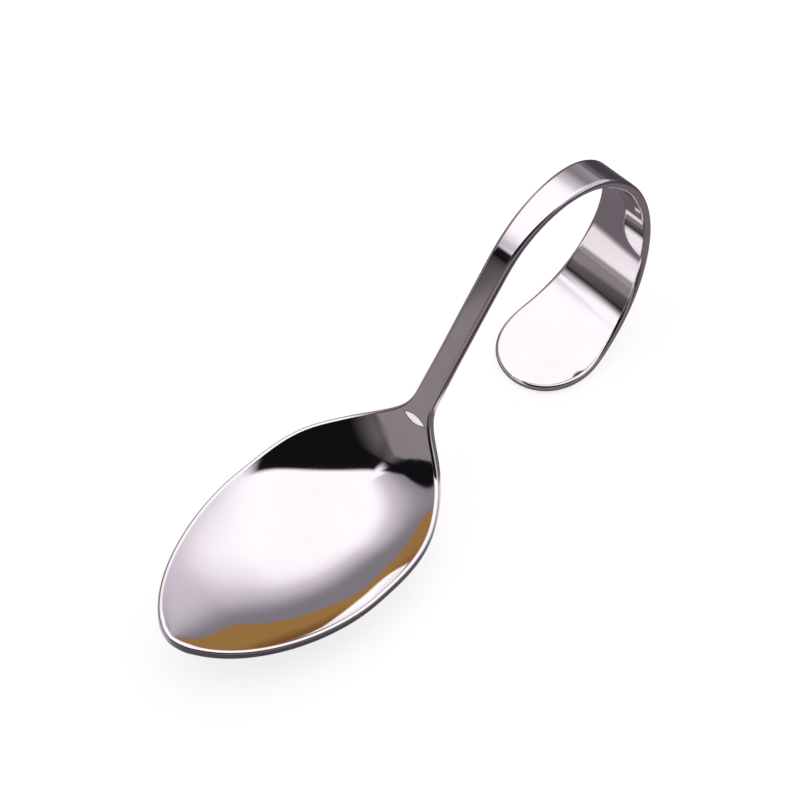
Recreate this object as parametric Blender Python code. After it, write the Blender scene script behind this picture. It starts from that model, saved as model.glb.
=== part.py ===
"""Curved-handle spoon in polished sheet steel: a pressed bowl and a bent strip handle.

Both pieces are one sheet of constant thickness. The sheet follows a side path made of arcs and straights,
from the bowl's tip along the rim, up the handle, over the loop and back along the table to the foot's round
end. Across that path it has a half width that changes with the distance from the tip. Inside the bowl it
sags from the rim to a keel line. The sheet's upper face in the bowl is the loop's outer face and the
underside of the foot, and the thickness lies on its other side. The cut edge stands square to the side
path, so the bowl's rim is upright.

Metres, degrees for angles, +Z up. The spoon stands on z = 0 with the tip towards -X and the loop
towards +X. The origin is below the middle of its box.
"""
import bmesh
import bpy
from math import cos, degrees, pi, radians, sin, sqrt, tan
from mathutils import Vector

# Sheet
STOCK = 0.00185             # thickness of the steel
EDGE_RADIUS = 0.0005        # rounding of the cut edge, all round
JOINT_GAP = 0.0003          # clearance between the two pieces at the neck

# Bowl, as lengths along the rim in side view
BOWL_WIDTH = 0.03825        # across the widest place
TIP_LENGTH = 0.0322         # tip to the widest place
SHOULDER_LENGTH = 0.0359    # widest place to the narrowest place of the neck
TIP_FULLNESS = 1.72         # 2 is a true ellipse, less is more pointed
SHOULDER_FULLNESS = 3.65    # more carries the width further towards the neck
SHOULDER_FALL = 2.22        # more narrows sooner and runs out into the neck more gently
TIP_HEIGHT = 0.01277        # table to the rim at the tip
RIM_FRONT_RADIUS = 0.146    # sag of the rim from the tip, seen from the side
RIM_BACK_RADIUS = 0.101     # its rise towards the neck
RIM_BACK_LENGTH = 0.0183    # length of that rise
RIM_RISE = 9.7              # slope of the rim where the neck bend starts
KEEL_TIP_SLOPE = 24.0       # slope of the bottom line down from the tip
KEEL_HEEL_RADIUS = 0.0225   # its curve from the deepest place up to the handle
SECTION_FULLNESS = 2.05     # 2 is a parabola across the bowl, more is a flatter bottom

# Neck and handle
NECK_WIDTH = 0.0049
NECK_BEND_LEAD = 0.01525    # start of the neck bend, back from the narrowest place
NECK_BEND_RADIUS = 0.010
HANDLE_ANGLE = 53.0         # slope of the straight stretch
TOP_BEND_RADIUS = 0.019     # outer face, over the top of the loop
TOP_BEND_END = -33.0        # heading where the top bend gives way to the back bend
BACK_BEND_RADIUS = 0.029    # outer face, down the back of the loop
BACK_BEND_END = -117.0      # heading where the back bend gives way to the heel bend
HEEL_BEND_RADIUS = 0.021    # outer face, on to the table
FOOT_FLAT = 0.010           # length that lies flat on the table
FLARE_LEAD = 0.031          # neck to the start of the flare
FLARE_POWER = 1.58          # 1 is a straight taper, more flares later
FOOT_WIDTH = 0.0248         # width that the flare aims at, before the end is rounded
FOOT_ROUND = 0.0155         # length of the foot's elliptical end

# Fineness of the meshes
TIP_ROWS = 16
SHOULDER_ROWS = 22
BOWL_COLUMNS = 20
STRAIGHT_ROWS = 8
BEND_STEP = 8.0
FOOT_ROWS = 14
HANDLE_COLUMNS = 8

PROBE = 0.0002              # step of the slopes that set the thickness

STEEL_COLOUR = (0.80, 0.78, 0.79, 1.0)
STEEL_ROUGHNESS = 0.06

FLAT_ON_TABLE = -180.0
NECK_AT = TIP_LENGTH + SHOULDER_LENGTH
RIM_LENGTH = NECK_AT - NECK_BEND_LEAD


def bend(radius, start, end):
    """Arc of the side path as (length, heading at its start, heading at its end), headings in radians."""
    return (abs(radians(end - start)) * radius, radians(start), radians(end))


def run(length, start, end):
    """Step in x and z along a straight or an arc."""
    turn = end - start
    if abs(turn) < 1e-9:
        return length * cos(start), length * sin(start)
    return length * (sin(end) - sin(start)) / turn, length * (cos(start) - cos(end)) / turn


def side_path():
    """Stretches of the side path in order. The straight is as long as brings the foot down to the table."""
    rim_low = RIM_RISE - degrees(RIM_BACK_LENGTH / RIM_BACK_RADIUS)
    rim_tip = rim_low - degrees((RIM_LENGTH - RIM_BACK_LENGTH) / RIM_FRONT_RADIUS)
    rim_front = bend(RIM_FRONT_RADIUS, rim_tip, rim_low)
    rim_back = bend(RIM_BACK_RADIUS, rim_low, RIM_RISE)
    neck = bend(NECK_BEND_RADIUS, RIM_RISE, HANDLE_ANGLE)
    top = bend(TOP_BEND_RADIUS, HANDLE_ANGLE, TOP_BEND_END)
    back = bend(BACK_BEND_RADIUS, TOP_BEND_END, BACK_BEND_END)
    heel = bend(HEEL_BEND_RADIUS, BACK_BEND_END, FLAT_ON_TABLE)
    foot = (FOOT_FLAT, radians(FLAT_ON_TABLE), radians(FLAT_ON_TABLE))
    slope = radians(HANDLE_ANGLE)
    bends = (rim_front, rim_back, neck, top, back, heel)
    drop = TIP_HEIGHT + sum(run(*stretch)[1] for stretch in bends)
    straight = (-drop / sin(slope), slope, slope)
    return [rim_front, rim_back, neck, straight, top, back, heel, foot]


PATH = side_path()
PATH_LENGTH = sum(stretch[0] for stretch in PATH)
HANDLE_FROM = sum(stretch[0] for stretch in PATH[:3])


def locate(along):
    """Point (x, z) of the side path at a distance from the tip. The tip is at x = 0."""
    x, z = 0.0, TIP_HEIGHT
    for length, start, end in PATH:
        part = min(along, length)
        share = part / length
        dx, dz = run(part, start, start + (end - start) * share)
        x, z, along = x + dx, z + dz, along - part
        if along <= 0.0:
            break
    return x, z


def half_width(along):
    """Half of the sheet's width at a distance from the tip."""
    if along < TIP_LENGTH:
        rest = 1.0 - along / TIP_LENGTH
        width = BOWL_WIDTH * max(1.0 - rest ** TIP_FULLNESS, 0.0) ** (1.0 / TIP_FULLNESS)
    elif along < NECK_AT:
        share = (along - TIP_LENGTH) / SHOULDER_LENGTH
        fade = (1.0 - share ** SHOULDER_FULLNESS) ** SHOULDER_FALL
        width = NECK_WIDTH + (BOWL_WIDTH - NECK_WIDTH) * fade
    else:
        flare_from = NECK_AT + FLARE_LEAD
        share = max(along - flare_from, 0.0) / (PATH_LENGTH - flare_from)
        width = NECK_WIDTH + (FOOT_WIDTH - NECK_WIDTH) * share ** FLARE_POWER
    into_end = max(along - (PATH_LENGTH - FOOT_ROUND), 0.0) / FOOT_ROUND
    return 0.5 * width * sqrt(max(1.0 - into_end ** 2, 0.0))


def keel_height(x):
    """Height of the bowl's bottom line: straight down from the tip, an arc to the deepest place, and a
    tighter arc up to the handle's straight."""
    line_x, line_z = locate(HANDLE_FROM)
    slope, tip_slope = radians(HANDLE_ANGLE), radians(KEEL_TIP_SLOPE)
    centre_z = STOCK + KEEL_HEEL_RADIUS
    deepest_x = line_x - (KEEL_HEEL_RADIUS - cos(slope) * (centre_z - line_z)) / sin(slope)
    if x > deepest_x:
        curl = min(x - deepest_x, KEEL_HEEL_RADIUS * sin(slope))
        rise = KEEL_HEEL_RADIUS - sqrt(KEEL_HEEL_RADIUS ** 2 - curl ** 2)
        return STOCK + rise + (x - deepest_x - curl) * tan(slope)
    fall = TIP_HEIGHT - STOCK
    radius = max((deepest_x * sin(tip_slope) - fall * cos(tip_slope)) / (1.0 - cos(tip_slope)), STOCK)
    bow = min(deepest_x - x, radius * sin(tip_slope))
    return STOCK + radius - sqrt(radius ** 2 - bow ** 2) + (deepest_x - x - bow) * tan(tip_slope)


def face_point(along, y):
    """Point of the sheet's leading face at a distance from the tip and from the middle."""
    x, rim_z = locate(along)
    z = rim_z
    if along < NECK_AT:
        across = abs(y) / max(half_width(along), PROBE)
        keel_z = min(keel_height(x), rim_z)
        z = keel_z + (rim_z - keel_z) * across ** SECTION_FULLNESS
    return Vector((x, y, z))


def upright(along):
    """Direction square to the side path, on the side of the leading face."""
    ahead, behind = locate(along + 0.5 * PROBE), locate(along - 0.5 * PROBE)
    return Vector((behind[1] - ahead[1], 0.0, ahead[0] - behind[0])).normalized()


def thickness(along, y):
    """Thickness of the sheet as measured square to the side path: more where the face leans."""
    reach = min(max(along, 2.0 * PROBE), PATH_LENGTH - 2.0 * PROBE)
    lengthwise = face_point(reach + 0.5 * PROBE, y) - face_point(reach - 0.5 * PROBE, y)
    crosswise = face_point(reach, y + 0.5 * PROBE) - face_point(reach, y - 0.5 * PROBE)
    return STOCK / lengthwise.cross(crosswise).normalized().dot(upright(reach))


def inward(along):
    """Direction into the sheet from its outline, as steps along the path and across it."""
    if half_width(along) < 1e-6:
        return (1.0, 0.0) if along < NECK_AT else (-1.0, 0.0)
    widening = (half_width(along + 0.5 * PROBE) - half_width(along - 0.5 * PROBE)) / PROBE
    size = sqrt(1.0 + widening ** 2)
    return widening / size, -1.0 / size


def ring(along, columns):
    """Corners of one ring round the sheet: the face, a rounded edge, the back and the other edge."""
    step_s, step_y = inward(along)
    radius = min(EDGE_RADIUS, 0.4 * STOCK)
    eased = radius * (1.0 - sqrt(0.5))
    shares = [2.0 * column / columns - 1.0 for column in range(columns + 1)]

    def corner(share, inset, sunk):
        s = min(max(along + inset * step_s, 0.0), PATH_LENGTH)
        y = share * max(half_width(along) + inset * step_y, 0.0)
        return face_point(s, y) - upright(min(max(s, PROBE), PATH_LENGTH - PROBE)) * sunk(s, y)

    edge = [(eased, lambda s, y: eased), (0.0, lambda s, y: radius), (0.0, lambda s, y: thickness(s, y) - radius),
            (eased, lambda s, y: thickness(s, y) - eased)]
    places = [corner(share, radius, lambda s, y: 0.0) for share in shares]
    places += [corner(1.0, inset, sunk) for inset, sunk in edge]
    places += [corner(share, radius, thickness) for share in reversed(shares)]
    return places + [corner(-1.0, inset, sunk) for inset, sunk in reversed(edge)]


def spread(start, end, rows):
    """Distances from start to end in equal steps, without the first."""
    return [start + (end - start) * (row + 1) / rows for row in range(rows)]


def bowl_stations():
    """Rows along the bowl, close together at the round tip."""
    stations = [TIP_LENGTH * (1.0 - cos(0.5 * pi * row / TIP_ROWS)) for row in range(TIP_ROWS + 1)]
    return stations + spread(TIP_LENGTH, NECK_AT - 0.5 * JOINT_GAP, SHOULDER_ROWS)


def handle_stations():
    """Rows along the handle, close together in the bends and at the foot's round end."""
    stations = [NECK_AT + 0.5 * JOINT_GAP]
    reached = 0.0
    for length, start, end in PATH[:-1]:
        reached += length
        rows = max(STRAIGHT_ROWS, round(abs(degrees(end - start)) / BEND_STEP))
        if reached > stations[-1]:
            stations += spread(stations[-1], reached, rows)
    round_from = PATH_LENGTH - FOOT_ROUND
    stations = [along for along in stations if along < round_from]
    for row in range(FOOT_ROWS + 1):
        stations.append(round_from + FOOT_ROUND * sin(0.5 * pi * row / FOOT_ROWS))
    return stations


def steel():
    """Polished stainless steel."""
    material = bpy.data.materials.new("polished_steel")
    material.use_nodes = True
    shader = material.node_tree.nodes["Principled BSDF"]
    shader.inputs["Base Color"].default_value = STEEL_COLOUR
    shader.inputs["Metallic"].default_value = 1.0
    shader.inputs["Roughness"].default_value = STEEL_ROUGHNESS
    return material


def sheet_piece(name, stations, columns, collection, parent):
    """One piece of the sheet: rings joined along its length and closed at its ends."""
    form = bmesh.new()
    rings = [[form.verts.new(place) for place in ring(along, columns)] for along in stations]
    for near, far in zip(rings, rings[1:]):
        for place in range(len(near)):
            beside = (place + 1) % len(near)
            form.faces.new((near[place], far[place], far[beside], near[beside]))
    for end, along in ((rings[0], stations[0]), (rings[-1], stations[-1])):
        if half_width(along) > 1e-6:
            form.faces.new(end)
    bmesh.ops.remove_doubles(form, verts=form.verts, dist=1e-6)
    bmesh.ops.recalc_face_normals(form, faces=form.faces)
    mesh = bpy.data.meshes.new(name)
    form.to_mesh(mesh)
    form.free()
    piece = bpy.data.objects.new(name, mesh)
    piece.data.materials.append(steel())
    piece.parent = parent
    collection.objects.link(piece)
    return piece


def box_middle(pieces):
    """Middle in x of the finished pieces."""
    places = [vert.co.x for piece in pieces for vert in piece.data.vertices]
    return 0.5 * (min(places) + max(places))


for old in list(bpy.data.objects):
    bpy.data.objects.remove(old)
spoon = bpy.data.collections.new("curved_handle_spoon")
bpy.context.scene.collection.children.link(spoon)
origin = bpy.data.objects.new("spoon_origin", None)
spoon.objects.link(origin)
bowl = sheet_piece("bowl", bowl_stations(), BOWL_COLUMNS, spoon, origin)
handle = sheet_piece("handle", handle_stations(), HANDLE_COLUMNS, spoon, origin)
origin.location.x = -box_middle((bowl, handle))
bpy.context.view_layer.update()
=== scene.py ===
import bpy
import numpy as np
from mathutils import Matrix, Vector


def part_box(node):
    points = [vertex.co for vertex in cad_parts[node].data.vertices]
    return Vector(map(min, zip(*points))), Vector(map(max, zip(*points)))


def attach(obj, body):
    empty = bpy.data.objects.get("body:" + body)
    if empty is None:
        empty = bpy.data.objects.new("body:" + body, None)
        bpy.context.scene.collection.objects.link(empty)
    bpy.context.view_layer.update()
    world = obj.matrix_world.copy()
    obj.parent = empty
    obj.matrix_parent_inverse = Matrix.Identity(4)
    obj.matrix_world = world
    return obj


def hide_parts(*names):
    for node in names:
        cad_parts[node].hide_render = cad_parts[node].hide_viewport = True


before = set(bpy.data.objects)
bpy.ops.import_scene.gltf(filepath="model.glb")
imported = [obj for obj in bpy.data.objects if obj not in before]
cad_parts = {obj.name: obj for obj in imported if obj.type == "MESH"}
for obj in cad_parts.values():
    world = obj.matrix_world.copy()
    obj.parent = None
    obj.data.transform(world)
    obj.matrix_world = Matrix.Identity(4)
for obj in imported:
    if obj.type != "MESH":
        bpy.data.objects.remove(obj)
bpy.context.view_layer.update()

# Bowl. The front half of a spoon stamped from one strip of stainless steel: cut to an oval that narrows
# to the neck, dished between two dies, then buffed to a mirror. Its rim is ground upright and rounded
# over. The press leaves a small crescent ledge where the dished back wall meets the flat of the neck.
MM = 0.001
STEP = 0.02 * MM
END_MARGIN = 0.05 * MM
STOCK = 1.85 * MM
UPPER_ROUND = 0.57 * MM
LOWER_ROUND = 0.38 * MM
STRIP_ROUND = 0.85 * MM
TIP = 32.2 * MM
SHOULDER = 35.9 * MM
NECK_AT = TIP + SHOULDER
BOWL_WIDTH = 38.25 * MM
TIP_POWER = 1.72
SHOULDER_POWER = 3.65
WAIST_POWER = 2.22
FLARE_POWER = 1.58
NECK_WIDTH = 4.9 * MM
TIP_HEIGHT = 12.54 * MM
HANDLE_SLOPE = np.radians(53.0)
HEADINGS = np.radians([-14.1, -0.7, 9.7, 53.0, 53.0, -33.0, -117.0, -180.0, -180.0])
RIM_LENGTHS = (34.2 * MM, 18.3 * MM)
BEND_ANGLES = np.radians([43.3, 86.0, 84.0, 63.0])
BEND_RADII = np.array([10.0, 19.0, 29.0, 21.0]) * MM
FOOT_LENGTH = 10.0 * MM
FLARE_FROM = NECK_AT + 31.0 * MM
FOOT_WIDTH = 24.8 * MM
FOOT_ROUND = 15.5 * MM
HEEL_RADIUS = 22.5 * MM
TIP_SLOPE = np.radians(24.0)
SECTION_ROUND = 0.95


def eased(share):
    """Smooth step of a share from 0 to 1: three squares less two cubes."""
    return share ** 2 * (3.0 - 2.0 * share)


def softened(values, reach=3.0 * MM):
    """Average under a raised cosine of that reach on either side, with the ends carried on straight."""
    count = int(round(reach / STEP))
    weight = 1.0 + np.cos(np.linspace(-np.pi, np.pi, 2 * count + 1))
    ends = np.pad(values, count, mode="reflect", reflect_type="odd")
    return np.convolve(ends, weight / weight.sum(), mode="valid")


def side_line(straight):
    """Crest of the rim and outer face of the handle in side view, from the tip of the bowl to the end of
    the foot, in steps of 0.02 mm. The heading turns evenly along each arc, is averaged because a bent strip
    has no sudden change of curve, and x and z are the running sums of its cosine and sine."""
    bends = BEND_ANGLES * BEND_RADII
    lengths = [*RIM_LENGTHS, bends[0], straight, bends[1], bends[2], bends[3], FOOT_LENGTH]
    corners = np.concatenate([[0.0], np.cumsum(lengths)])
    along = np.arange(0.0, corners[-1], STEP)
    heading = softened(np.interp(along, corners, HEADINGS))
    x = np.concatenate([[0.0], np.cumsum(np.cos(heading[:-1]) * STEP)])
    z = TIP_HEIGHT + np.concatenate([[0.0], np.cumsum(np.sin(heading[:-1]) * STEP)])
    return along, heading, x, z


# The straight of the handle is as long as brings the foot down to the table.
STRAIGHT = 39.0 * MM
STRAIGHT -= side_line(STRAIGHT)[3][-1] / np.sin(HANDLE_SLOPE)
along, heading, line_x, line_z = side_line(STRAIGHT)
line_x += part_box("handle")[1].x - line_x.max()
LENGTH = along[-1]


def cut_width(s):
    """Half width of the cut blank at a distance from the tip: a superellipse, a power of one minus a power
    down to the neck, an even strip, a power-law flare and an elliptical end."""
    tip = np.clip(1.0 - s / TIP, 0.0, 1.0)
    shoulder = np.clip((s - TIP) / SHOULDER, 0.0, 1.0)
    flare = np.clip((s - FLARE_FROM) / (LENGTH - FLARE_FROM), 0.0, 1.0)
    end = np.clip((s - LENGTH + FOOT_ROUND) / FOOT_ROUND, 0.0, 1.0)
    front = BOWL_WIDTH * (1.0 - tip ** TIP_POWER) ** (1.0 / TIP_POWER)
    waist = NECK_WIDTH + (BOWL_WIDTH - NECK_WIDTH) * (1.0 - shoulder ** SHOULDER_POWER) ** WAIST_POWER
    strip = NECK_WIDTH + (FOOT_WIDTH - NECK_WIDTH) * flare ** FLARE_POWER
    width = np.where(s < TIP, front, np.where(s < NECK_AT, waist, strip))
    return 0.5 * width * np.sqrt(1.0 - end ** 2)


# The wheel that polishes the edge rounds off the changes of curve in the outline, away from the two ends.
away = np.clip((along - 8.0 * MM) / (12.0 * MM), 0.0, 1.0)
away *= np.clip((LENGTH - 17.0 * MM - along) / (8.0 * MM), 0.0, 1.0)
easing = (softened(cut_width(along)) - cut_width(along)) * eased(away)


def half_width(s):
    """Half width of the finished outline."""
    return cut_width(s) + np.interp(s, along, easing)


def keel_line():
    """Height of the bowl's middle line: straight down from the tip, an arc to the deepest place, and a
    tighter arc up that runs into the handle's straight."""
    middle = np.searchsorted(along, NECK_AT + 10.0 * MM)
    lift = np.cos(HANDLE_SLOPE) * (STOCK + HEEL_RADIUS - line_z[middle])
    deepest = line_x[middle] - (HEEL_RADIUS - lift) / np.sin(HANDLE_SLOPE)
    reach, drop = deepest - line_x[0], TIP_HEIGHT - STOCK
    radius = (reach * np.sin(TIP_SLOPE) - drop * np.cos(TIP_SLOPE)) / (1.0 - np.cos(TIP_SLOPE))
    ahead = np.clip(deepest - line_x, 0.0, None)
    bow = np.minimum(ahead, radius * np.sin(TIP_SLOPE))
    fall = radius - np.sqrt(radius ** 2 - bow ** 2) + (ahead - bow) * np.tan(TIP_SLOPE)
    behind = np.clip(line_x - deepest, 0.0, None)
    curl = np.minimum(behind, HEEL_RADIUS * np.sin(HANDLE_SLOPE))
    rise = HEEL_RADIUS - np.sqrt(HEEL_RADIUS ** 2 - curl ** 2) + (behind - curl) * np.tan(HANDLE_SLOPE)
    return STOCK + fall + rise


# The face would meet the upright rim above its rounded crest, by the crest's radius times the sum of the
# tangent and the secant of the wall's lean less one.
dish = softened(np.where(along < NECK_AT, np.maximum(line_z - keel_line(), 0.0), 0.0))
outline = np.maximum(half_width(along), END_MARGIN)
spread = (4.0 - 2.0 * SECTION_ROUND) * np.sqrt(1.0 + np.gradient(outline, STEP) ** 2) / outline
lean = dish * spread
lean = (dish + UPPER_ROUND * (lean + np.sqrt(1.0 + lean ** 2) - 1.0)) * spread
crest = softened(UPPER_ROUND * (lean + np.sqrt(1.0 + lean ** 2) - 1.0) * (along < NECK_AT), 1.5 * MM)
depth = dish + crest


def sheet(s, y, lift=0.0):
    """Point of the leading face at a distance s from the tip and y from the middle, moved by the lift along
    the side line's normal. It hangs below the rim by the depth there times one minus a mix of the square
    and the fourth power of y over the half width."""
    s = np.clip(s, END_MARGIN, LENGTH - END_MARGIN)
    turn = np.interp(s, along, heading)
    across = (y / half_width(s)) ** 2
    share = 1.0 - SECTION_ROUND * across - (1.0 - SECTION_ROUND) * across ** 2
    x = np.interp(s, along, line_x) - np.sin(turn) * lift
    z = np.interp(s, along, line_z + crest) - np.interp(s, along, depth) * share + np.cos(turn) * lift
    return np.stack([x, y, z], axis=-1)


def secant(s, y):
    """Secant of the angle between the leading face and the flat strip, by differences over 0.06 mm."""
    tiny = 0.03 * MM
    s = np.clip(s, END_MARGIN + tiny, LENGTH - END_MARGIN - tiny)
    turn = np.interp(s, along, heading)
    normal = np.cross(sheet(s + tiny, y) - sheet(s - tiny, y), sheet(s, y + tiny) - sheet(s, y - tiny))
    upright = normal[..., 2] * np.cos(turn) - normal[..., 0] * np.sin(turn)
    return np.linalg.norm(normal, axis=-1) / upright


PRESS_AT = 64.15 * MM
PRESS_WIDTH = 1.2 * MM
PRESS_REACH = 2.6 * MM
PRESS_OFF = -0.2 * MM
PRESS_SLOPE = 0.36
PRESS_FADE = 8.0 * MM


def press_ledge(s, y):
    """Height of the press mark at the neck: a flat facet 0.36 times as high as it is wide, widest near the
    middle and pointed at both ends, of which half stands above the bowl's wall and half is sunk in the
    neck. Both halves fade away over 8 mm."""
    wide = PRESS_WIDTH * np.clip(1.0 - ((y - PRESS_OFF) / PRESS_REACH) ** 2, 0.02, 1.0)
    facet = np.clip((s - PRESS_AT) / wide, -0.5, 0.5)
    fade = np.clip(1.0 - np.abs(s - PRESS_AT) / PRESS_FADE, 0.0, 1.0)
    return -PRESS_SLOPE * wide * facet * eased(fade)


FACE_COLUMNS = 73
FACE_CROWDING = 0.43 * np.pi
OVER_COLUMNS = 12
UNDER_COLUMNS = 9
ROUND_GROWS = 12.0 * MM
RIM_STEP = 0.1 * MM
WELD = 0.0002 * MM


def strip_mesh(name, outline_s, outline_y, closed_start, closed_end):
    """Closed body of one piece of the sheet. A profile across the strip, with a face, a rounded upright
    edge, a back and the other edge, is carried along the outline. Each place is set in from the outline by
    its inset, moved to its share of the width, and sunk from the leading face by its drop. The two
    roundings are arcs that touch the face, the upright edge and the back, and grow past the neck."""
    ds, dy = np.gradient(outline_s), np.gradient(outline_y)
    ds[0], dy[0] = (0.0, 1.0) if closed_start else (1.0, 0.0)
    ds[-1], dy[-1] = (0.0, -1.0) if closed_end else (1.0, 0.0)
    in_s, in_y = dy / np.hypot(ds, dy), -ds / np.hypot(ds, dy)
    steep = secant(outline_s + RIM_STEP * in_s, outline_y + RIM_STEP * in_y)
    steep = np.maximum(steep, 1.0)[:, None]
    tilt = np.arccos(1.0 / steep)
    over = -tilt + (0.5 * np.pi + tilt) * np.linspace(0.0, 1.0, OVER_COLUMNS)[1:]
    under = 0.5 * np.pi + (0.5 * np.pi - tilt) * np.linspace(0.0, 1.0, UNDER_COLUMNS)[:-1]
    strip = eased(np.clip((outline_s - NECK_AT) / ROUND_GROWS, 0.0, 1.0))[:, None]
    upper = UPPER_ROUND + (STRIP_ROUND - UPPER_ROUND) * strip
    lower = LOWER_ROUND + (STRIP_ROUND - LOWER_ROUND) * strip

    face_inset = upper * (1.0 + np.sin(tilt))
    back_inset = lower * (1.0 - np.sin(tilt))
    edge_inset = np.concatenate([upper * (1.0 - np.sin(over)), lower * (1.0 - np.sin(under))], axis=1)
    back_y = np.maximum(outline_y[:, None] + back_inset * in_y[:, None], 0.0)
    thick = STOCK * np.maximum(secant(outline_s[:, None] + back_inset * in_s[:, None], back_y), 1.0)
    over_drop = upper * (steep - np.cos(over) + np.sin(over) * np.tan(tilt))
    under_drop = lower * ((np.sin(under) - np.sin(tilt)) * np.tan(tilt) - np.cos(tilt) - np.cos(under))
    edge_drop = np.concatenate([over_drop, thick + under_drop], axis=1)

    face = np.sin(np.linspace(-1.0, 1.0, FACE_COLUMNS) * FACE_CROWDING) / np.sin(FACE_CROWDING)
    flat = 0.0 * face[None, :]
    ones = np.ones(edge_inset.shape[1])
    share = np.concatenate([face, ones, face[::-1], -ones])[None, :]
    inset = np.concatenate([face_inset + flat, edge_inset, back_inset + flat, edge_inset[:, ::-1]], axis=1)
    s = outline_s[:, None] + inset * in_s[:, None]
    y = share * np.maximum(outline_y[:, None] + inset * in_y[:, None], 0.0)
    back = slice(FACE_COLUMNS + len(ones), 2 * FACE_COLUMNS + len(ones))
    back_drop = STOCK * np.maximum(secant(s[:, back], y[:, back]), 1.0)
    drop = np.concatenate([0.0 * tilt + flat, edge_drop, back_drop, edge_drop[:, ::-1]], axis=1)
    ledge = press_ledge(s, y) * np.clip(1.0 - drop / STOCK, 0.0, 1.0)
    place = sheet(s, y, ledge - drop)
    end_s = np.clip(s, END_MARGIN, LENGTH - END_MARGIN)
    turn = np.interp(end_s, along, heading)
    place[..., 0] += (s - end_s) * np.cos(turn)
    place[..., 2] += (s - end_s) * np.sin(turn)

    # Rows that meet in one point at a rounded end are welded, and an open end gets a flat cap.
    rows, columns = s.shape
    number = np.arange(rows * columns).reshape(rows, columns)
    beside = np.roll(number, -1, axis=1)
    quads = np.stack([number[:-1], number[1:], beside[1:], beside[:-1]], axis=-1).reshape(-1, 4)
    keys = np.round(place.reshape(-1, 3) / WELD).astype(np.int64)
    _, first, welded = np.unique(keys, axis=0, return_index=True, return_inverse=True)
    welded = welded.reshape(-1)
    quads = welded[quads]
    start_pole = quads[:, 0] == quads[:, 3]
    end_pole = quads[:, 1] == quads[:, 2]
    faces = quads[~start_pole & ~end_pole].tolist()
    faces += quads[start_pole & ~end_pole][:, [0, 1, 2]].tolist()
    faces += quads[end_pole & ~start_pole][:, [0, 1, 3]].tolist()
    caps = []
    if not closed_start:
        caps.append(welded[number[0]].tolist())
    if not closed_end:
        caps.append(welded[number[-1]][::-1].tolist())
    mesh = bpy.data.meshes.new(name)
    mesh.from_pydata(place.reshape(-1, 3)[first].tolist(), [], faces + caps)

    smooth = np.ones(len(mesh.polygons), dtype=bool)
    smooth[len(faces):] = False
    mesh.polygons.foreach_set("use_smooth", smooth)
    on_cap = np.zeros(len(mesh.vertices), dtype=bool)
    on_cap[np.concatenate(caps)] = True
    ends = np.empty(2 * len(mesh.edges), dtype=np.int32)
    mesh.edges.foreach_get("vertices", ends)
    sharp = on_cap[ends].reshape(-1, 2).all(axis=1)
    mesh.attributes.new("sharp_edge", "BOOLEAN", "EDGE").data.foreach_set("value", sharp)
    corner = np.empty(len(mesh.loops), dtype=np.int32)
    mesh.loops.foreach_get("vertex_index", corner)
    sheet_uv = np.stack([s, y], axis=-1).reshape(-1, 2)[first]
    mesh.uv_layers.new(name="sheet").data.foreach_set("uv", sheet_uv[corner].astype(np.float32).ravel())
    rim_away = ((1.0 - np.abs(share)) * outline_y[:, None] + inset).reshape(-1)[first]
    mesh.attributes.new("rim_away", "FLOAT", "POINT").data.foreach_set("value", rim_away.astype(np.float32))
    mesh.update()
    piece = bpy.data.objects.new(name, mesh)
    bpy.context.scene.collection.objects.link(piece)
    return piece


# Rows crowd towards the tip, where the outline turns, and past the heel, where the press mark is.
TIP_ROWS = 97
BOWL_ROWS = 68
HEEL_ROWS = 92
HEEL_AT = 59.0 * MM
tip_turn = np.linspace(0.0, 0.5 * np.pi, TIP_ROWS)
tip_s = TIP * (1.0 - np.cos(tip_turn) ** (2.0 / TIP_POWER))
bowl_s = np.concatenate([tip_s, np.linspace(TIP, HEEL_AT, BOWL_ROWS)[1:],
                         np.linspace(HEEL_AT, NECK_AT, HEEL_ROWS)[1:]])
bowl_s[0] = 0.0
bowl_y = half_width(bowl_s)
tip_y = 0.5 * BOWL_WIDTH * np.sin(tip_turn) ** (2.0 / TIP_POWER)
bowl_y[:TIP_ROWS] = tip_y + np.interp(bowl_s[:TIP_ROWS], along, easing)
bowl = strip_mesh("spoon_bowl", bowl_s, bowl_y, True, False)


def linear(code):
    """Linear colour of an sRGB hex code."""
    value = np.array([int(code[i:i + 2], 16) for i in (1, 3, 5)]) / 255.0
    value = np.where(value < 0.04045, value / 12.92, ((value + 0.055) / 1.055) ** 2.4)
    return (*value.tolist(), 1.0)


def node(tree, kind, entries):
    """Adds one node and returns its outputs. An entry that is a socket is linked to the input of that name
    or number, and any other value goes to the node's property of that name or else to the input."""
    made = tree.nodes.new(kind)
    for key, value in entries.items():
        if isinstance(value, bpy.types.NodeSocket):
            tree.links.new(value, made.inputs[key])
        elif isinstance(key, str) and hasattr(made, key):
            setattr(made, key, value)
        else:
            made.inputs[key].default_value = value
    return made.outputs


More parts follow.
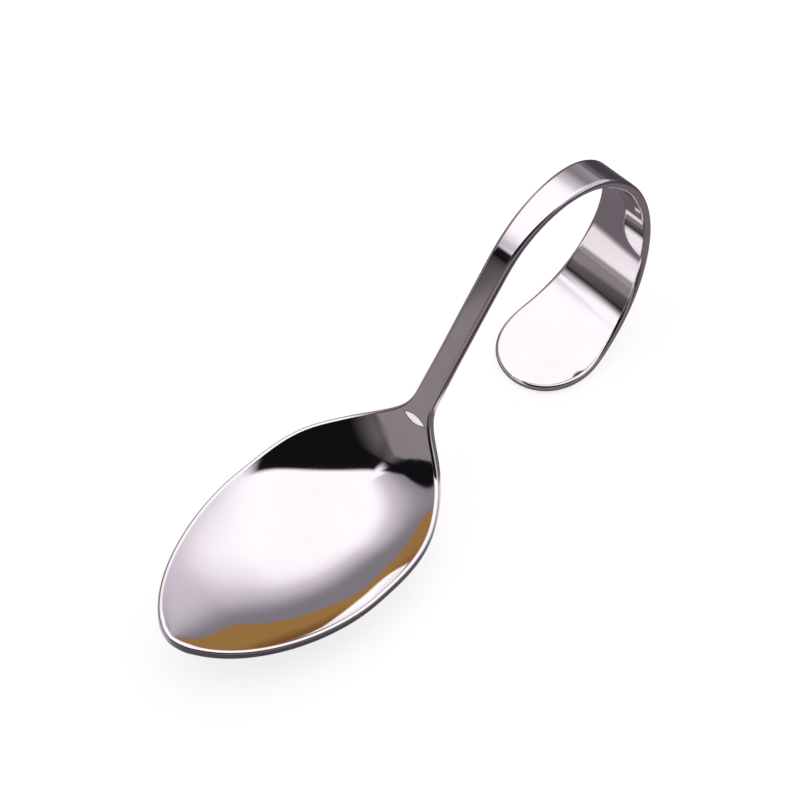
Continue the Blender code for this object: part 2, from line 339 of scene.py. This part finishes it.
# Stainless steel buffed along its length. The wheel leaves hair lines under 0.1 mm, drawn here 0.4 mm apart
# so that they show, cloudy places a centimetre across where compound and fingers dulled it, a rim slightly
# duller than the faces, and a waviness of a few microns that bends what the steel mirrors.
HAIR_LENGTH = 22.222 * MM
HAIR_APART = 0.4 * MM
CLOUD = 11.111 * MM
SWELL = 6.6667 * MM
SWELL_HEIGHT = 0.004 * MM
COLOUR = {"data_type": "RGBA"}
ADD = {"operation": "ADD"}
MULTIPLY = {"operation": "MULTIPLY"}
steel = bpy.data.materials.new("buffed_stainless_steel")
steel.use_nodes = True
tree = steel.node_tree
shader = tree.nodes["Principled BSDF"]
shader.inputs["Metallic"].default_value = 1.0
sheet_map = node(tree, "ShaderNodeUVMap", {"uv_map": "sheet"})["UV"]
space = node(tree, "ShaderNodeTexCoord", {})["Object"]
drawn = node(tree, "ShaderNodeVectorMath",
             {**MULTIPLY, 0: sheet_map, 1: (1.0 / HAIR_LENGTH, 1.0 / HAIR_APART, 1.0)})[0]
hairs = node(tree, "ShaderNodeTexNoise",
             {"Vector": drawn, "Scale": 1.0, "Detail": 3.0, "Roughness": 0.6})["Fac"]
clouds = node(tree, "ShaderNodeTexNoise",
              {"Vector": space, "Scale": 1.0 / CLOUD, "Detail": 4.0, "Roughness": 0.55})["Fac"]
swell = node(tree, "ShaderNodeTexNoise", {"Vector": space, "Scale": 1.0 / SWELL, "Detail": 1.0})["Fac"]
rim = node(tree, "ShaderNodeAttribute", {"attribute_name": "rim_away"})["Fac"]
worn = node(tree, "ShaderNodeMapRange",
            {"Value": rim, "From Min": 0.9 * MM, "From Max": 0.2 * MM, "To Min": 0.0, "To Max": 0.03})[0]
dull = node(tree, "ShaderNodeMapRange",
            {"Value": clouds, "From Min": 0.45, "From Max": 0.8, "To Min": 0.035, "To Max": 0.075})[0]
lines = node(tree, "ShaderNodeMapRange",
             {"Value": hairs, "From Min": 0.5, "From Max": 0.8, "To Min": 0.0, "To Max": 0.035})[0]
rough = node(tree, "ShaderNodeMath", {**ADD, 0: dull, 1: lines})[0]
rough = node(tree, "ShaderNodeMath", {**ADD, 0: rough, 1: worn})[0]
tree.links.new(rough, shader.inputs["Roughness"])
tone = node(tree, "ShaderNodeMapRange", {"Value": clouds, "From Min": 0.35, "From Max": 0.75})[0]
tint = node(tree, "ShaderNodeMix",
            {**COLOUR, 0: tone, 6: linear("#f2f0f1"), 7: linear("#edeaeb")})[2]
tree.links.new(tint, shader.inputs["Base Color"])
wavy = node(tree, "ShaderNodeBump", {"Height": swell, "Strength": 1.0, "Distance": SWELL_HEIGHT})["Normal"]
tree.links.new(wavy, shader.inputs["Normal"])
bowl.data.materials.append(steel)
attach(bowl, "root")
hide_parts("bowl")

# Handle. The back half of the same strip, bent up from the neck, over in a loop and back along the table,
# where it flares to a rounded foot. Its edges are linished round and the faces buffed along their length.
STRIP_ROWS = 281
FOOT_ROWS = 49
foot_turn = np.linspace(0.0, 0.5 * np.pi, FOOT_ROWS)
strip_s = np.linspace(NECK_AT, LENGTH - FOOT_ROUND, STRIP_ROWS)
handle_s = np.concatenate([strip_s, LENGTH - FOOT_ROUND + FOOT_ROUND * np.sin(foot_turn[1:])])
handle_y = half_width(handle_s)
handle_y[-1] = 0.0
handle = strip_mesh("spoon_handle", handle_s, handle_y, False, True)
handle.data.materials.append(steel)
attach(handle, "root")
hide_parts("handle")

# Floor. A sheet of matt white card that the spoon stands on, a hair below it. The steel mirrors it as the
# grey card of an unlit studio, with painted shade that makes it darker on the near side and past the loop,
# and a painted pool of light behind the spoon, which also glows for rays off the steel.
FLOOR_DROP = 0.02 * MM
rings = np.array([0.05, 0.1, 0.2, 0.4, 0.8, 1.6, 3.0])
ring, spoke = np.meshgrid(rings, np.linspace(0.0, 2.0 * np.pi, 65)[:-1], indexing="ij")
spots = np.stack([ring * np.cos(spoke), ring * np.sin(spoke), 0.0 * ring], axis=-1).reshape(-1, 3)
spots = np.append(spots, [[0.0, 0.0, 0.0]], axis=0) - [0.0, 0.0, FLOOR_DROP]
count = np.arange(ring.size).reshape(ring.shape)
beyond = np.roll(count, -1, axis=1)
bands = np.stack([count[:-1], count[1:], beyond[1:], beyond[:-1]], axis=-1).reshape(-1, 4)
middle = np.stack([0 * count[0] + ring.size, count[0], beyond[0]], axis=-1)
card = bpy.data.meshes.new("floor")
card.from_pydata(spots.tolist(), [], bands.tolist() + middle.tolist())
floor = bpy.data.objects.new("floor", card)
bpy.context.scene.collection.objects.link(floor)
paper = bpy.data.materials.new("matt_white_card")
paper.use_nodes = True
tree = paper.node_tree
shader = tree.nodes["Principled BSDF"]
shader.inputs["Roughness"].default_value = 0.9
shader.inputs["Specular IOR Level"].default_value = 0.0
DOT = {"operation": "DOT_PRODUCT"}
MAXIMUM = {"operation": "MAXIMUM"}
EASE = {"interpolation_type": "SMOOTHSTEP"}
path = node(tree, "ShaderNodeLightPath", {})
place = node(tree, "ShaderNodeTexCoord", {})["Object"]
past = node(tree, "ShaderNodeVectorMath", {**DOT, 0: place, 1: (0.92, 0.39, 0.0)})["Value"]
near = node(tree, "ShaderNodeMapRange", {**EASE, "Value": past, "From Min": 0.06, "From Max": 0.14})[0]
far = node(tree, "ShaderNodeMapRange", {**EASE, "Value": past, "From Min": 0.50, "From Max": 0.16})[0]
dim = node(tree, "ShaderNodeMath", {**MULTIPLY, 0: near, 1: far})[0]
front = node(tree, "ShaderNodeVectorMath", {**DOT, 0: place, 1: (0.35, 0.94, 0.0)})["Value"]
front = node(tree, "ShaderNodeMapRange",
             {**EASE, "Value": front, "From Min": -0.015, "From Max": -0.045})[0]
dim = node(tree, "ShaderNodeMath", {**MAXIMUM, 0: dim, 1: front})[0]
unlit = node(tree, "ShaderNodeMix", {**COLOUR, 0: dim, 6: linear("#736d71"), 7: linear("#474348")})[2]
spot = node(tree, "ShaderNodeVectorMath",
            {"operation": "SUBTRACT", 0: place, 1: (-0.020, 0.034, 0.0)})[0]
spot = node(tree, "ShaderNodeVectorRotate", {"rotation_type": "Z_AXIS", "Vector": spot, "Angle": 0.32})[0]
spot = node(tree, "ShaderNodeSeparateXYZ", {0: spot})
near_end = node(tree, "ShaderNodeMapRange",
                {**EASE, "Value": spot[0], "From Min": 0.0525, "From Max": 0.0445})[0]
far_end = node(tree, "ShaderNodeMapRange",
               {**EASE, "Value": spot[0], "From Min": -0.060, "From Max": -0.005, "To Min": 0.22})[0]
width = node(tree, "ShaderNodeMath", {"operation": "ABSOLUTE", 0: spot[1]})[0]
width = node(tree, "ShaderNodeMapRange", {**EASE, "Value": width, "From Min": 0.050, "From Max": 0.035})[0]
lit = node(tree, "ShaderNodeMath", {**MULTIPLY, 0: near_end, 1: far_end})[0]
lit = node(tree, "ShaderNodeMath", {**MULTIPLY, 0: lit, 1: width})[0]
# Painted light for rays off the steel: the card's painted shade with a painted pool of light laid over it.
painted_floor_shade_and_light = node(tree, "ShaderNodeMix", {**COLOUR, 0: lit, 6: unlit, 7: linear("#fbf8fa")})[2]
glossy = path["Is Glossy Ray"]
tone = node(tree, "ShaderNodeMix", {**COLOUR, 0: glossy, 6: linear("#a3a1a2"), 7: painted_floor_shade_and_light})[2]
glow = node(tree, "ShaderNodeMix", {**COLOUR, 0: glossy, 6: (0.80, 0.80, 0.80, 1.0), 7: painted_floor_shade_and_light})[2]
seen = node(tree, "ShaderNodeMath",
            {"operation": "MULTIPLY_ADD", 0: glossy, 1: 0.32, 2: path["Is Camera Ray"]})[0]
tree.links.new(tone, shader.inputs["Base Color"])
tree.links.new(glow, shader.inputs["Emission Color"])
tree.links.new(seen, shader.inputs["Emission Strength"])
card.materials.append(paper)

# Light. A large white tent behind the spoon, greyer and then ochre towards the table, and an unlit studio
# on the camera's side. The world's nodes tell its places apart by the cosine between the way that a ray
# leaves and a direction.
MULTIPLY_ADD = {"operation": "MULTIPLY_ADD"}
world = bpy.data.worlds.new("studio")
world.use_nodes = True
bpy.context.scene.world = world
tree = world.node_tree
sky = tree.nodes["Background"]
way = node(tree, "ShaderNodeTexCoord", {})["Generated"]


def toward(azimuth, elevation):
    """Unit vector of a direction in degrees."""
    a, e = np.radians([azimuth, elevation])
    return (float(np.cos(e) * np.cos(a)), float(np.cos(e) * np.sin(a)), float(np.sin(e)))


height = node(tree, "ShaderNodeVectorMath", {**DOT, 0: way, 1: toward(0.0, 90.0)})["Value"]
beside = node(tree, "ShaderNodeVectorMath", {**DOT, 0: way, 1: toward(160.0, 0.0)})["Value"]
behind = node(tree, "ShaderNodeVectorMath", {**DOT, 0: way, 1: toward(70.0, 0.0)})["Value"]
swing = node(tree, "ShaderNodeMath", {"operation": "ABSOLUTE", 0: beside})[0]

# The tent's white, which climbs from grey at the foot to full white overhead, sooner at the back and at
# both ends of the spoon.
rear = node(tree, "ShaderNodeVectorMath", {**DOT, 0: way, 1: toward(55.0, 0.0)})["Value"]
rear = node(tree, "ShaderNodeMapRange", {**EASE, "Value": rear, "From Min": 0.50, "From Max": 0.85})[0]
foot = node(tree, "ShaderNodeMath", {**MULTIPLY_ADD, 0: rear, 1: 0.07, 2: 0.26})[0]
head = node(tree, "ShaderNodeMath", {**MULTIPLY_ADD, 0: rear, 1: -0.095, 2: 0.80})[0]
rise = node(tree, "ShaderNodeVectorMath", {**DOT, 0: way, 1: toward(-10.0, 0.0)})["Value"]
rise = node(tree, "ShaderNodeMapRange",
            {**EASE, "Value": rise, "From Min": 0.60, "From Max": 0.85, "To Max": 0.085})[0]
rise = node(tree, "ShaderNodeMath", {**ADD, 0: height, 1: rise})[0]
climb = node(tree, "ShaderNodeMapRange", {"Value": rise, "From Min": foot, "From Max": head})[0]
bright = node(tree, "ShaderNodeMapRange",
              {**EASE, "Value": beside, "From Min": -0.62, "From Max": -0.86, "To Max": 0.62})[0]
climb = node(tree, "ShaderNodeMath", {**MAXIMUM, 0: climb, 1: bright})[0]
flank = node(tree, "ShaderNodeMapRange",
             {**EASE, "Value": behind, "From Min": 0.18, "From Max": 0.08, "To Max": 0.95})[0]
tipward = node(tree, "ShaderNodeMapRange", {**EASE, "Value": beside, "From Min": 0.42, "From Max": 0.65})[0]
flank = node(tree, "ShaderNodeMath", {**MULTIPLY, 0: flank, 1: tipward})[0]
climb = node(tree, "ShaderNodeMath", {**MAXIMUM, 0: climb, 1: flank})[0]
climb = node(tree, "ShaderNodeMath", {"operation": "SMOOTH_MAX", 0: climb, 1: 0.21, 2: 0.25})[0]
tent = node(tree, "ShaderNodeMix",
            {**COLOUR, 0: climb, 6: (0.0, 0.0, 0.0, 1.0), 7: (1.07, 0.98, 1.10, 1.0)})[2]
full = node(tree, "ShaderNodeMapRange", {**EASE, "Value": climb, "From Min": 0.62, "From Max": 1.04})[0]
tent = node(tree, "ShaderNodeMix", {**COLOUR, 0: full, 6: tent, 7: (1.16, 1.12, 1.15, 1.0)})[2]

# An ochre band along the tent's foot, lower in the middle, and the lit gap under it.
inside = node(tree, "ShaderNodeMapRange", {**EASE, "Value": behind, "From Min": 0.0, "From Max": 0.1})[0]
edge = node(tree, "ShaderNodeMath", {**MULTIPLY_ADD, 0: swing, 1: -0.27, 2: height})[0]
edge = node(tree, "ShaderNodeMapRange", {**EASE, "Value": edge, "From Min": 0.19, "From Max": 0.17})[0]
ends = node(tree, "ShaderNodeMapRange", {**EASE, "Value": swing, "From Min": 0.66, "From Max": 0.60})[0]
band = node(tree, "ShaderNodeMath", {**MULTIPLY, 0: edge, 1: ends})[0]
band = node(tree, "ShaderNodeMath", {**MULTIPLY, 0: band, 1: inside})[0]
shade = node(tree, "ShaderNodeMapRange", {**EASE, "Value": height, "From Min": 0.0, "From Max": 0.15})[0]
ochre = node(tree, "ShaderNodeMix", {**COLOUR, 0: shade, 6: linear("#764f2e"), 7: linear("#9e7744")})[2]
tent = node(tree, "ShaderNodeMix", {**COLOUR, 0: band, 6: tent, 7: ochre})[2]
gap = node(tree, "ShaderNodeMath", {**MULTIPLY, 0: beside, 1: beside})[0]
gap = node(tree, "ShaderNodeMath", {**MULTIPLY_ADD, 0: gap, 1: 3.0, 2: height})[0]
gap = node(tree, "ShaderNodeMapRange", {**EASE, "Value": gap, "From Min": 0.12, "From Max": 0.09})[0]
gap = node(tree, "ShaderNodeMath", {**MULTIPLY, 0: gap, 1: inside})[0]
tent = node(tree, "ShaderNodeMix", {**COLOUR, 0: gap, 6: tent, 7: (1.14, 1.12, 1.14, 1.0)})[2]

# The unlit studio: near black, with a grey haze that rises from the table, thinner beside the tent.
past = node(tree, "ShaderNodeMapRange", {**EASE, "Value": behind, "From Min": 0.10, "From Max": 0.05})[0]
thin = node(tree, "ShaderNodeMath", {"operation": "ABSOLUTE", 0: behind})[0]
thin = node(tree, "ShaderNodeMapRange", {**EASE, "Value": thin, "From Min": 0.055, "From Max": 0.0})[0]
top = node(tree, "ShaderNodeMath", {**MULTIPLY_ADD, 0: past, 1: 0.11, 2: 0.18})[0]
low = node(tree, "ShaderNodeMath", {**MULTIPLY_ADD, 0: past, 1: 0.085, 2: 0.12})[0]
low = node(tree, "ShaderNodeMath", {**MULTIPLY_ADD, 0: thin, 1: -0.09, 2: low})[0]
haze = node(tree, "ShaderNodeMapRange", {**EASE, "Value": height, "From Min": top, "From Max": low})[0]
fade = node(tree, "ShaderNodeMapRange", {"Value": height, "From Min": 0.60, "From Max": 0.22})[0]
fade = node(tree, "ShaderNodeMath", {"operation": "POWER", 0: fade, 1: 1.2})[0]
calm = node(tree, "ShaderNodeMath", {**MULTIPLY_ADD, 0: thin, 1: -0.35, 2: past})[0]
fade = node(tree, "ShaderNodeMath", {**MULTIPLY, 0: fade, 1: calm})[0]
averted = node(tree, "ShaderNodeVectorMath", {**DOT, 0: way, 1: toward(50.0, 35.0)})["Value"]
averted = node(tree, "ShaderNodeMapRange",
               {**EASE, "Value": averted, "From Min": 0.02, "From Max": -0.02, "To Max": 0.6})[0]
fade = node(tree, "ShaderNodeMath", {**MULTIPLY, 0: fade, 1: averted})[0]
haze = node(tree, "ShaderNodeMath", {**MAXIMUM, 0: haze, 1: fade})[0]
aside = node(tree, "ShaderNodeVectorMath", {**DOT, 0: way, 1: toward(-70.0, 0.0)})["Value"]
aside = node(tree, "ShaderNodeMapRange",
             {**EASE, "Value": aside, "From Min": 0.35, "From Max": 0.60, "To Max": 0.5})[0]
below = node(tree, "ShaderNodeMapRange", {**EASE, "Value": height, "From Min": 0.68, "From Max": 0.56})[0]
aside = node(tree, "ShaderNodeMath", {**MULTIPLY, 0: aside, 1: below})[0]
haze = node(tree, "ShaderNodeMath", {**MAXIMUM, 0: haze, 1: aside})[0]
studio = node(tree, "ShaderNodeMix", {**COLOUR, 0: haze, 6: linear("#121113"), 7: linear("#8e8588")})[2]

# The tent's opening: a slanting edge less a dark wedge beside the bowl's tip, with a soft right end and a
# soft place in the edge, which the inside of the loop mirrors.
below = node(tree, "ShaderNodeMapRange", {**EASE, "Value": height, "From Min": 0.375, "From Max": 0.335})[0]
wedge = node(tree, "ShaderNodeMapRange", {**EASE, "Value": beside, "From Min": 0.82, "From Max": 0.87})[0]
wedge = node(tree, "ShaderNodeMath", {**MULTIPLY, 0: wedge, 1: below})[0]
wedge = node(tree, "ShaderNodeMath", {"operation": "SUBTRACT", 0: 1.0, 1: wedge})[0]
slant = node(tree, "ShaderNodeVectorMath", {**DOT, 0: way, 1: toward(50.5, 20.0)})["Value"]
slant = node(tree, "ShaderNodeMapRange", {**EASE, "Value": slant, "From Min": -0.025, "From Max": 0.02})[0]
opened = node(tree, "ShaderNodeMath", {**MULTIPLY, 0: slant, 1: wedge})[0]
blur = node(tree, "ShaderNodeMapRange",
            {**EASE, "Value": height, "From Min": 0.75, "From Max": 0.64,
             "To Min": -0.05, "To Max": -0.30})[0]
end = node(tree, "ShaderNodeVectorMath", {**DOT, 0: way, 1: toward(29.0, 0.0)})["Value"]
end = node(tree, "ShaderNodeMapRange", {**EASE, "Value": end, "From Min": blur, "From Max": 0.01})[0]
opened = node(tree, "ShaderNodeMath", {**MAXIMUM, 0: opened, 1: end})[0]
soft = node(tree, "ShaderNodeMapRange", {**EASE, "Value": height, "From Min": 0.39, "From Max": 0.60})[0]
side = node(tree, "ShaderNodeMapRange", {**EASE, "Value": behind, "From Min": 0.015, "From Max": 0.055})[0]
soft = node(tree, "ShaderNodeMath", {**MULTIPLY, 0: soft, 1: side})[0]
side = node(tree, "ShaderNodeMapRange", {**EASE, "Value": behind, "From Min": 0.095, "From Max": 0.07})[0]
soft = node(tree, "ShaderNodeMath", {**MULTIPLY, 0: soft, 1: side})[0]
opened = node(tree, "ShaderNodeMath", {**MAXIMUM, 0: opened, 1: soft})[0]
surround = node(tree, "ShaderNodeMix", {**COLOUR, 0: opened, 6: studio, 7: tent})[2]
seen = node(tree, "ShaderNodeLightPath", {})["Is Camera Ray"]
shown = node(tree, "ShaderNodeMix", {**COLOUR, 0: seen, 6: surround, 7: (1.0, 1.0, 1.0, 1.0)})[2]
tree.links.new(shown, sky.inputs["Color"])

# Camera, at the photograph's place: its angles, distance and focal length come from fitting the spoon's
# edges to the photograph.
FOCAL_PIXELS = 1733.3
FRAME_PIXELS = 800.0
SENSOR = 36.0
DISTANCE = 314.47 * MM
scene = bpy.context.scene
turn, lift, roll = np.radians([-44.79, 56.54, -0.18])
back = Vector((np.sin(turn) * np.cos(lift), -np.cos(turn) * np.cos(lift), np.sin(lift)))
right = Vector((np.cos(turn), np.sin(turn), 0.0))
up = back.cross(right)
right, up = right * np.cos(roll) + up * np.sin(roll), up * np.cos(roll) - right * np.sin(roll)
lens = bpy.data.cameras.new("camera")
lens.sensor_width = SENSOR
lens.lens = SENSOR * FOCAL_PIXELS / FRAME_PIXELS
lens.clip_start = 10.0 * MM
camera = bpy.data.objects.new("camera", lens)
scene.collection.objects.link(camera)
aim = Vector((-2.80 * MM, -0.034 * MM, 26.781 * MM))
camera.matrix_world = Matrix((right, up, back)).transposed().to_4x4()
camera.location = aim + back * DISTANCE
scene.camera = camera
scene.view_settings.view_transform = "Standard"
